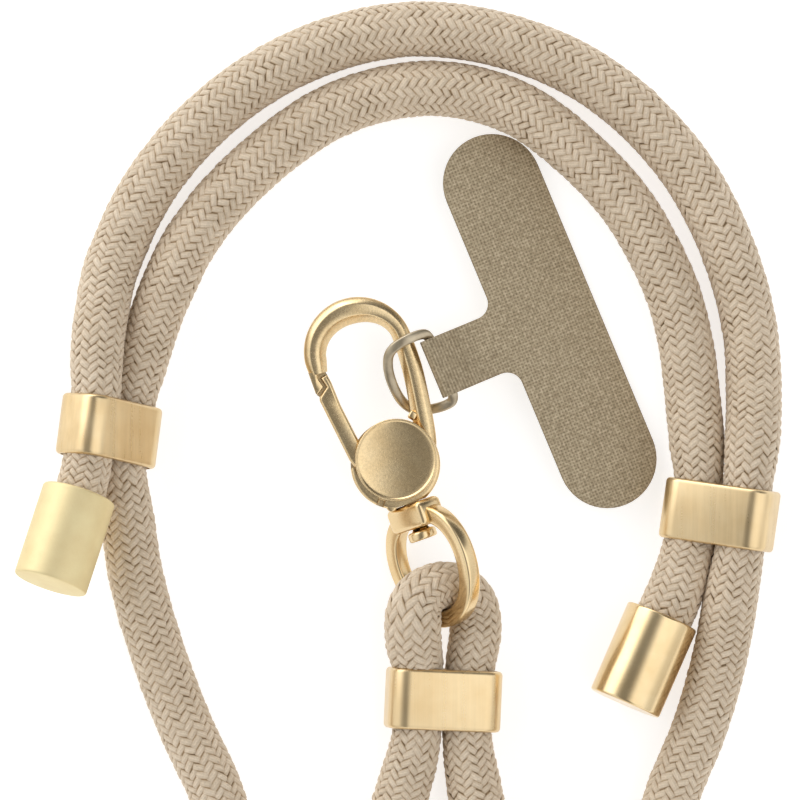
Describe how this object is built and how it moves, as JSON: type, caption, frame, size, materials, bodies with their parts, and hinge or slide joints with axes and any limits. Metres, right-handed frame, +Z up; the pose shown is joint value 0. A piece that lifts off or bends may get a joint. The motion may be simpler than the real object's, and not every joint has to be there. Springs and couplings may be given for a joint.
{
  "type": "phone crossbody strap",
  "caption": "Thick braided rope strap laid out flat, gathered by metal slides and capped at its ends, with a swivel snap hook, D-ring and stiff fabric tab that fits inside a phone case.",
  "frame": {"origin": "middle of the laid-out strap's footprint, on the surface it lies on", "axes": "+Z up from the surface, +Y along the strap towards the closed arch, +X to the right as the picture shows it"},
  "size_m": [0.1108, 0.276, 0.0203],
  "materials": {
    "sand_yarn": "matte braided yarn",
    "satin_gold": "satin brushed",
    "taupe_enamel": "semi-gloss",
    "taupe_fabric": "fine coated weave"
  },
  "bodies": {
    "strap": {"braided_rope": "sand_yarn", "slide_left": "satin_gold", "slide_right": "satin_gold", "slide_centre": "satin_gold", "cap_left": "satin_gold", "cap_right": "satin_gold", "swivel_bail": "satin_gold"},
    "hook": {"hook_frame": "satin_gold", "hook_disc": "satin_gold", "d_ring": "taupe_enamel", "fabric_tab": "taupe_fabric"},
    "gate": {"hook_gate": "satin_gold"}
  },
  "joints": [
    {"name": "hook_swivel", "type": "hinge", "parent": "strap", "child": "hook", "pos_m": [-0.00058, 0.07179, 0.00737], "axis": [-0.3338, 0.9426, 0], "continuous": true},
    {"name": "gate_hinge", "type": "hinge", "parent": "hook", "child": "gate", "pos_m": [-0.00461, 0.07058, 0.00737], "axis": [0, 0, 1], "range_deg": [-22, 0], "stiffness_Nm_per_rad": 0.02}
  ]
}
